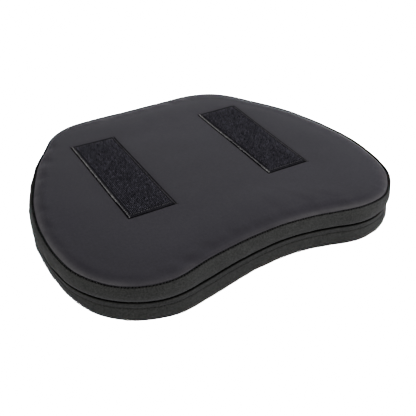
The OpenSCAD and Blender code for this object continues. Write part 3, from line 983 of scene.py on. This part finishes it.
def lower_band():
    bottom = Z_LOW + STRIKE.wave_z
    rings, marks = fold_rings(EDGE_LOWER, LOWER_FOLD)
    base = 1.4
    for t in LOWER_STEPS:
        from_stitch = t - STITCHED
        cut = PATTERN if 0.3 < t < 0.88 else 1
        sewn = (0.36 * math.exp(-(from_stitch / 0.022) ** 2) * (0.75 + 0.25 * HOLE)
                + 0.28 * math.exp(-(from_stitch / 0.08) ** 2))
        below = min(1, max(0, from_stitch / (1 - STITCHED)))
        d = (base + (np.interp(t, *LOWER_FULL) - base) * cut
             + MID_WAVE_OUT * (1 - t) + STRIKE.wave_out * t - sewn
             + LOWER_RIPPLE * bulge(below) + GATHER_B * 0.15 * math.exp(-(1 - t) * 7))
        rings.append(band_ring(d, EDGE_LOWER + (bottom - EDGE_LOWER) * t, LOWER_SIM, t))
        # painted shade along the topstitch line and towards the bottom edge
        dark = 0.75 * math.exp(-(from_stitch / 0.020) ** 2) + np.interp(t, *LOWER_EDGE_SHADE)
        marks.append(np.full(LOOP_COUNT, dark))
    for rise, d, _, painted_shade in TURN_IN[::-1]:
        pull = hole_pull(d)
        rings.append(ring(d + STRIKE.wave_out, bottom - rise + 0.32 * pull))
        # painted shade in the strike seam
        marks.append(np.clip(painted_shade + 0.25 * pull, 0, 1))
    return rings, marks


def press(verts):
    """The folds lie flush under the pull tab, and the bar tacks draw them in a little more."""
    dz = np.abs(verts[:, 2] - Z_MID)
    x = np.abs(verts[:, 0])
    most = Y_REAR - 0.2 + 1.3 * np.maximum(0, dz - 4.3) + 0.5 * np.maximum(0, x - 84)
    most = most - 0.35 * np.exp(-((x - TACK_X) / 1.8) ** 2) * np.exp(-(dz / 4.6) ** 6)
    verts[:, 1] = np.minimum(verts[:, 1], most)
    return verts


def side_band(name, node, rings, marks):
    """Builds a band and returns its points as rings x loop points x 3."""
    verts = press(np.vstack(rings))
    index = np.arange(len(verts)).reshape(-1, LOOP_COUNT)
    faces = np.vstack([quads_between(a, b) for a, b in zip(index[:-1], index[1:])])
    # the band's marks are painted shade
    piece(name, verts, faces, MAT_SIDE, node, "side_cover", {"painted_shade": np.concatenate(marks)})
    return verts.reshape(-1, LOOP_COUNT, 3)


UPPER_BAND = side_band("upper_side_band", "upper_boxing", *upper_band())
LOWER_BAND = side_band("lower_side_band", "lower_boxing", *lower_band())


# ---------------------------------------------------------------- stitches
def tube(path, radius, sides=6, capped=True):
    """A tube along a path; radius is one number or one per point."""
    path = np.asarray(path, dtype=float)
    n = len(path)
    radius = np.broadcast_to(radius, (n,))
    along = np.gradient(path, axis=0)
    along /= np.linalg.norm(along, axis=1)[:, None] + 1e-12
    ref = np.array([0.0, 0, 1]) if abs(along[0][2]) < 0.9 else np.array([1.0, 0, 0])
    a = np.cross(along, ref)
    a /= np.linalg.norm(a, axis=1)[:, None] + 1e-12
    b = np.cross(along, a)
    angle = (np.arange(sides) / sides * 2 * math.pi)[None, :, None]
    around = np.cos(angle) * a[:, None, :] + np.sin(angle) * b[:, None, :]
    verts = (path[:, None, :] + radius[:, None, None] * around).reshape(-1, 3)
    index = np.arange(n * sides).reshape(n, sides)
    faces = [(index[i, j], index[i, (j + 1) % sides], index[i + 1, (j + 1) % sides],
              index[i + 1, j]) for i in range(n - 1) for j in range(sides)]
    if capped:
        faces.append(tuple(index[0, ::-1]))
        faces.append(tuple(index[-1]))
    return verts, faces


def merge(parts):
    verts, faces, base = [], [], 0
    for part_verts, part_faces in parts:
        verts.append(part_verts)
        faces.extend([tuple(i + base for i in face) for face in part_faces])
        base += len(part_verts)
    return np.vstack(verts), faces


def stitch_row(points, out, pitch, length, radius, lift, seed, closed=True):
    """Lockstitches along a line: each dives at both ends, lies proud in its middle, and is
    slightly off line."""
    rng = np.random.default_rng(seed)
    out = np.broadcast_to(out, points.shape)
    if closed:
        points = np.vstack([points, points[:1]])
        out = np.vstack([out, out[:1]])
    run = np.concatenate([[0], np.cumsum(np.linalg.norm(np.diff(points, axis=0), axis=1))])
    u = np.linspace(-1, 1, 5)
    parts = []
    for i in range(int(run[-1] / pitch)):
        centre = i * pitch + pitch / 2 + rng.normal(0, 0.04) * pitch
        half = length / 2 * (1 + rng.normal(0, 0.05))
        at = centre + u * half
        at = at % run[-1] if closed else np.clip(at, 0, run[-1])
        base = np.column_stack([np.interp(at, run, points[:, k]) for k in range(3)])
        normal = np.column_stack([np.interp(at, run, out[:, k]) for k in range(3)])
        normal /= np.linalg.norm(normal, axis=1)[:, None] + 1e-9
        along = base[-1] - base[0]
        along /= np.linalg.norm(along) + 1e-9
        side = np.cross(normal, along)
        path = (base + normal * (lift * (1 - u ** 2) - 0.25 * u ** 4)[:, None]
                + side * (rng.normal(0, 0.05) + 0.06 * u)[:, None])
        parts.append(tube(path, radius * np.array([0.55, 0.95, 1.05, 0.95, 0.55]), sides=5))
    return merge(parts)


def loop_out(tilt):
    return np.column_stack([OUT, np.full(LOOP_COUNT, tilt)])


def seam_stitches(name, seam, node, seed):
    """The thread that shows in the groove between a face and its band."""
    points = ring(seam.wave_out - 0.02, seam.z + seam.wave_z)
    points[:, 2] -= seam.sign * 0.62
    row = stitch_row(points, loop_out(seam.sign * 0.9), STITCH, length=2.2, radius=0.24,
                     lift=0.30, seed=seed)
    piece(name, *row, MAT_THREAD, node, "thread")


def fold_topstitching():
    points = LOWER_BAND[len(LOWER_FOLD) + LOWER_STEPS.index(STITCHED)].copy()
    points[:, :2] += OUT * 0.06
    row = stitch_row(points, loop_out(0), STITCH, length=2.35, radius=0.21, lift=0.10, seed=3)
    piece("fold_topstitching", *row, MAT_THREAD, "flap_topstitch", "thread")


seam_stitches("back_seam_stitches", BACK, "top_seam_thread", seed=1)
seam_stitches("strike_seam_stitches", STRIKE, "bottom_seam_thread", seed=2)
fold_topstitching()


# ---------------------------------------------------------------- hook strips
def mesh_tree(ob):
    return BVHTree.FromPolygons([v.co.copy() for v in ob.data.vertices],
                                [tuple(p.vertices) for p in ob.data.polygons])


BACK_TREE = mesh_tree(back_panel)


def face_height(x, y):
    hit = BACK_TREE.ray_cast(Vector((x * MM, y * MM, 0.2)), Vector((0, 0, -1)))
    return hit[0].z * 1000 if hit[0] else Z_FACE


def height_map(lo, hi, step=2.5, margin=8):
    """A function giving the back's height over one strip, read once on a grid."""
    xs = np.arange(lo[0] - margin, hi[0] + margin + step, step)
    ys = np.arange(lo[1] - margin, hi[1] + margin + step, step)
    z = np.array([[face_height(a, b) for b in ys] for a in xs])

    def height(x, y):
        i = np.clip((np.asarray(x) - xs[0]) / step, 0, len(xs) - 1.001)
        j = np.clip((np.asarray(y) - ys[0]) / step, 0, len(ys) - 1.001)
        a, b = np.floor(i).astype(int), np.floor(j).astype(int)
        u, w = i - a, j - b
        return (z[a, b] * (1 - u) * (1 - w) + z[a + 1, b] * u * (1 - w)
                + z[a, b + 1] * (1 - u) * w + z[a + 1, b + 1] * u * w)
    return height


class Strip:
    """One hook strip sewn on the back."""
    GAP = 0.04                      # between the cover and the tape
    SIZE = (44, 120)                # tape cells in x and y
    HOOK_PITCH = (1.75, 1.7)
    HOOK_RADIUS = 0.21
    WORN_OFF = 0.025                # share of hooks that are missing

    def __init__(self, side, lo, hi, seed):
        self.side, self.seed = side, seed
        self.rng = np.random.default_rng(seed)
        self.height = height_map(lo, hi)
        self.x0, self.y0 = lo[:2]
        self.x1, self.y1 = hi[:2]
        self.bottom = lo[2]
        self.thick = hi[2] - lo[2]
        self.tape()
        # a painted highlight on the -x edge's filaments, painted shade on the +x edge's
        self.selvedge("_strip_selvedge", self.x0, -1, MAT_SELVEDGE_LIT)
        self.selvedge("_strip_selvedge_inner", self.x1, 1, MAT_SELVEDGE_SHADED)
        self.hooks()
        self.stitching()
        self.thread_tails()

    def add(self, name, verts, faces, material, node, slot, marks=None):
        piece(self.side + name, verts, faces, material, self.side + node, slot, marks)

    def wander(self, along, knots):
        """A slow random deviation along a line."""
        at = np.linspace(along[0], along[-1], knots)
        return np.interp(along, at, self.rng.normal(0, 0.12, knots))

    def tape(self):
        """Woven base with a rounded rim, slightly uneven along its edges."""
        x0, x1, y0, y1, thick = self.x0, self.x1, self.y0, self.y1, self.thick
        u, w = (np.linspace(0, 1, n + 1) for n in self.SIZE)
        x, y = np.meshgrid(x0 + u * (x1 - x0), y0 + w * (y1 - y0), indexing="ij")
        x = x + self.wander(w, 9)[None, :]
        y = y + self.wander(u, 6)[:, None]
        z = self.height(x, y) + self.GAP + thick
        face = np.column_stack([x.ravel(), y.ravel(), z.ravel()])
        index = np.arange(len(face)).reshape(x.shape)
        rim = np.concatenate([index[0, :], index[1:, -1], index[-1, -2::-1], index[-2:0:-1, 0]])
        edge = face[rim, :2]
        ex, ey = edge.T
        out = np.column_stack([np.where(ex <= x0 + 0.4, -1, np.where(ex >= x1 - 0.4, 1, 0)),
                               np.where(ey <= y0 + 0.4, -1, np.where(ey >= y1 - 0.4, 1, 0))])
        out = out / np.maximum(np.hypot(*out.T), 1)[:, None]
        z = self.height(ex, ey) + self.GAP
        verts, faces, previous, base = [face], [grid_quads(index)], rim, len(face)
        # offset out and height of the rim's rings
        for offset, rise in ((0.18, thick * 0.82), (0.30, thick * 0.5), (0.24, thick * 0.16),
                             (0.0, -0.25)):
            verts.append(np.column_stack([edge + out * offset, z + rise]))
            current = base + np.arange(len(rim))
            base += len(rim)
            faces.append(quads_between(previous, current))
            previous = current
        self.add("_strip_tape", np.vstack(verts), np.vstack(faces).tolist(), MAT_TAPE,
                 "_hook_tape", "hook_tape")

    def selvedge(self, name, x, sign, material):
        """Two warp filaments along one long edge."""
        y = np.linspace(self.y0 - 0.5, self.y1 + 0.9, 76)
        z = self.height(np.full(len(y), x), y) + self.GAP
        parts = []
        # distance inside the edge, radius, height in tape thicknesses
        for inset, radius, level in ((-0.10, 0.25, 0.62), (0.42, 0.2, 0.98)):
            px = x - sign * inset + self.rng.normal(0, 0.03, len(y)).cumsum() * 0.12
            path = np.column_stack([px, y, z + self.thick * level])
            parts.append(tube(path, radius * (1 + self.rng.normal(0, 0.06, len(y)))))
        self.add(name, *merge(parts), material, "_hook_tape", "hook_tape")

    def hooks(self):
        """Pairs of rows whose hooks lean opposite ways."""
        rng = self.rng
        lo, hi = box(self.side + "_hook_field")
        width, length = hi[0] - lo[0], hi[1] - lo[1]
        rows = int((width - 0.6) / self.HOOK_PITCH[0])
        columns = int((length - 5.2) / self.HOOK_PITCH[1])
        tall = hi[2] - self.bottom - self.thick
        thickness = self.HOOK_RADIUS * np.array([1.25, 1.0, 1.0, 1.0, 0.95, 0.7])
        verts, faces, shades, base = [], [], [], 0
        for row in range(rows):
            for column in range(columns):
                x = lo[0] + 0.6 + (row + 0.5) * (width - 1.2) / rows + rng.normal(0, 0.07)
                along = column + 0.5 + (0.25 if row % 2 else -0.25)
                y = lo[1] + 3.3 + along * (length - 6.6) / columns + rng.normal(0, 0.12)
                if rng.random() < self.WORN_OFF:
                    continue
                h = tall * rng.uniform(0.82, 1.0)
                z = float(self.height(x, y)) + self.GAP + self.thick
                twist = rng.normal(0, 0.35)
                dx = math.sin(twist)
                dy = (1 if (row // 2) % 2 else -1) * math.cos(twist)
                profile = [(0.0, -0.05), (0.02, 0.45 * h), (0.10, 0.78 * h),
                           (0.34, 0.97 * h), (0.62, 0.90 * h), (0.78, 0.62 * h)]
                path = [(x + dx * reach, y + dy * reach, z + up) for reach, up in profile]
                hook_verts, hook_faces = tube(path, thickness, sides=4, capped=False)
                verts.append(hook_verts)
                faces.append(np.array(hook_faces) + base)
                # a random value per hook: low ones are darker flecks, high ones painted glints
                shades.append(np.full(len(hook_verts), rng.random()))
                base += len(hook_verts)
        self.add("_strip_hooks", np.vstack(verts), np.vstack(faces), MAT_HOOK,
                 "_hook_field", "hooks", {"shade": np.concatenate(shades)})

    def stitching(self):
        """Lines along both long edges and across both ends."""
        lo, hi = box(self.side + "_tape_stitching")
        up = [0, 0, 1.0]
        parts = []
        for line_x in (lo[0] + 0.25, hi[0] - 0.25):
            y = np.linspace(lo[1] + 0.3, hi[1] - 0.3, 60)
            x = line_x + self.wander(y, 7)
            points = np.column_stack([x, y, self.height(x, y) + self.thick + 0.02])
            parts.append(stitch_row(points, up, pitch=2.9, length=2.2, radius=0.24, lift=0.2,
                                    seed=self.seed + 5, closed=False))
        for line_y in (lo[1] + 0.25, hi[1] - 0.25):
            x = np.linspace(lo[0] + 0.4, hi[0] - 0.4, 30)
            y = line_y + self.wander(x, 5)
            points = np.column_stack([x, y, self.height(x, y) + self.thick + 0.05])
            parts.append(stitch_row(points, up, pitch=2.9, length=2.3, radius=0.26, lift=0.25,
                                    seed=self.seed + 6, closed=False))
        self.add("_strip_stitching", *merge(parts), MAT_STRIP_THREAD, "_tape_stitching", "thread")

    def thread_tails(self):
        """Two cut thread ends at the front +x corner."""
        i = np.arange(9)
        parts = []
        for tail in range(2):
            x = self.x1 - 1.2 - tail * 0.8 + 0.55 * i + 0.25 * np.sin(i * 1.3 + tail)
            y = self.y0 + 1.0 - 0.42 * i - 0.1 * i * tail
            z = self.height(x, y) + 0.25 + np.maximum(0, self.thick - 0.25 * i)
            parts.append(tube(np.column_stack([x, y, z + 0.35 * np.sin(i * 0.8)]), 0.2, sides=5))
        self.add("_strip_thread_tails", *merge(parts), MAT_THREAD, "_tape_stitching", "thread")


Strip("left", *TAPE_BOXES[0], seed=101)
Strip("right", *TAPE_BOXES[1], seed=202)

# ---------------------------------------------------------------- zip
ZIP_TAPE_Y = box("upper_zip_tape")[1][1]        # outer side of the zip tapes at the rear
COIL_OUTER_Y = Y_REAR - 2.6
COIL_Y = (ZIP_TAPE_Y + COIL_OUTER_Y) / 2 + 0.05
COIL_PITCH = 1.5
COIL_FROM, COIL_TO = -59.5, OPENING_X + 6
COIL_RISE = 0.3 + 1.25                          # from the zip's middle to a coil's


def coil(sign, name, node):
    """A coil in the open stretch, and a plain cord for its hidden run behind the folds."""
    depth = (COIL_OUTER_Y - ZIP_TAPE_Y) / 2 * 0.8
    z = Z_MID + sign * COIL_RISE
    turns = int((COIL_TO - COIL_FROM) / COIL_PITCH)
    angle = np.linspace(0, turns * 2 * math.pi, turns * 14)
    shift = 0.0 if sign > 0 else COIL_PITCH / 2
    helix = np.column_stack([COIL_FROM + angle / (2 * math.pi) * COIL_PITCH + shift,
                             COIL_Y + depth * np.sin(angle), z + sign * 1.05 * np.cos(angle)])
    xs = np.linspace(COIL_FROM, COIL_TO, 140)
    core = np.column_stack([xs, np.full(140, COIL_Y), np.full(140, z + sign * 0.1)])
    first = int(LOOP_COUNT * (COIL_TO / PERIMETER))
    last = LOOP_COUNT - int(LOOP_COUNT * (62.0 / PERIMETER))
    hidden = (LINE - OUT * (Y_REAR - COIL_Y))[first:last:3]
    hidden = np.column_stack([hidden, np.full(len(hidden), z)])
    verts, faces = merge([tube(helix, 0.27, sides=5), tube(core, 0.35), tube(hidden, 0.95)])
    piece(name, verts, faces, MAT_ZIP_COIL, node, "zip_coil")


def opening_topstitching():
    """Stitching over the open stretch, with a bar tack at each end."""
    count = 90
    xs = np.linspace(-OPENING_X, OPENING_X, count)
    nearest = [np.argmin(np.hypot(LINE[:, 0] - x, LINE[:, 1] - Y_REAR)) for x in xs]
    columns = UPPER_BAND[:, nearest]
    level = (OPENING_LO[2] + OPENING_HI[2]) / 2 + 0.9
    # rings that lie too deep are passed over
    score = np.abs(columns[..., 2] - level) + 10 * (columns[..., 1] < Y_REAR - 1.2)
    points = columns[score.argmin(axis=0), np.arange(count)]
    points = np.column_stack([xs, points[:, 1] + 0.05, np.full(count, np.median(points[:, 2]))])
    parts = [stitch_row(points, [0, 1.0, 0], pitch=2.9, length=2.3, radius=0.22, lift=0.15,
                        seed=17, closed=False)]
    u = np.linspace(-1, 1, 4)
    for side in (-1, 1):
        for i in range(9):
            z = Z_MID - 3.6 + i * 0.9
            path = np.column_stack([side * TACK_X + u * 1.3, Y_REAR - 0.32 - 0.25 * u ** 4,
                                    z + 0.35 * u])
            parts.append(tube(path, 0.2, sides=5))
    piece("opening_topstitching", *merge(parts), MAT_THREAD, "window_topstitch", "thread")


coil(1, "upper_coil", "upper_zip_coil")
coil(-1, "lower_coil", "lower_zip_coil")
opening_topstitching()

# ---------------------------------------------------------------- floor, world and lights
WHITE_OUT = 120.0       # what the camera sees of floor and world is far beyond white


def floor_material():
    m = Shader("floor_card")
    cloud = m.noise(scale=3, detail=2, rough=0.5)
    card = m.mix(m.ramp(cloud, span=(0.3, 0.7)), grey(0.86), grey(0.88))
    seen = m.node("ShaderNodeLightPath").outputs["Is Camera Ray"]
    m.surface(Base_Color=m.mix(seen, card, grey(WHITE_OUT)), Roughness=0.9,
              Specular_IOR_Level=0.0)
    return m.material


def build_floor():
    bpy.ops.mesh.primitive_plane_add(size=8, location=(0, 0, CAD_LO[2] - 0.0002))
    floor = bpy.context.object
    floor.name = "floor"
    floor.data.materials.append(floor_material())


def build_world(ambient):
    world = bpy.data.worlds.new("studio")
    bpy.context.scene.world = world
    world.use_nodes = True
    tree = world.node_tree
    background = tree.nodes["Background"]
    background.inputs[0].default_value = (1.0, 1.0, 1.0, 1)
    path = tree.nodes.new("ShaderNodeLightPath")
    mix = tree.nodes.new("ShaderNodeMix")
    mix.inputs[2].default_value = ambient
    mix.inputs[3].default_value = WHITE_OUT
    tree.links.new(path.outputs["Is Camera Ray"], mix.inputs[0])
    tree.links.new(mix.outputs[0], background.inputs[1])


def area(name, at, size, power, target=(0, 0, 0.02), glossy=True):
    light = bpy.data.lights.new(name, "AREA")
    light.shape = "RECTANGLE"
    light.size, light.size_y = size
    light.energy = power
    ob = bpy.data.objects.new(name, light)
    ob.location = at
    ob.rotation_euler = (Vector(target) - Vector(at)).to_track_quat("-Z", "Y").to_euler()
    bpy.context.scene.collection.objects.link(ob)
    ob.visible_glossy = glossy
    ob.visible_camera = False


build_floor()
build_world(ambient=0.12)
area("key", at=(0.55, 0.75, 0.95), size=(1.2, 0.9), power=1.35)
area("fill_left", at=(-1.3, -0.7, 0.8), size=(1.2, 1.0), power=2.95)
area("front", at=(0.2, -1.5, 1.1), size=(1.4, 0.7), power=1.7)
area("overhead", at=(0, 0, 1.6), size=(1.0, 1.0), power=0.7)
area("rear_low", at=(0.3, 1.5, 0.28), size=(1.8, 0.4), power=3.5, glossy=False)
area("left_low", at=(-1.5, 0.2, 0.5), size=(1.0, 0.6), power=4.25)
area("right_low", at=(1.5, 0.3, 0.3), size=(1.2, 0.4), power=5.0, glossy=False)
area("front_right_low", at=(1.0, -1.2, 0.5), size=(1.0, 0.6), power=5.6)
area("right_near", at=(0.62, -0.62, 0.2), size=(0.4, 0.25), power=0.8,
     target=(0.12, -0.08, 0.02), glossy=False)

# ---------------------------------------------------------------- camera
AZIMUTH, ELEVATION, ROLL_ANGLE = -0.575, 0.637, 0.042       # radians, from straight in front
AIM = np.array([0.73, 65.8, Z_TOP])
AIM_IN_VIEW = np.array([-46.24, 82.484, -732.181])          # the same point on the camera's axes


def build_camera():
    sin_a, cos_a = math.sin(AZIMUTH), math.cos(AZIMUTH)
    sin_r, cos_r = math.sin(ROLL_ANGLE), math.cos(ROLL_ANGLE)
    level = math.cos(ELEVATION)
    back = np.array([sin_a * level, -cos_a * level, math.sin(ELEVATION)])
    right = np.array([cos_a, sin_a, 0.0])
    up = np.cross(back, right)
    axes = np.stack([right * cos_r + up * sin_r, -right * sin_r + up * cos_r, back])
    data = bpy.data.cameras.new("camera")
    data.sensor_width = 36
    data.lens = 54.064904
    data.clip_start = 0.01
    camera = bpy.data.objects.new("camera", data)
    pose = Matrix(axes.T.tolist()).to_4x4()
    pose.translation = Vector(((AIM - axes.T @ AIM_IN_VIEW) * MM).tolist())
    camera.matrix_world = pose
    bpy.context.scene.collection.objects.link(camera)
    bpy.context.scene.camera = camera


build_camera()
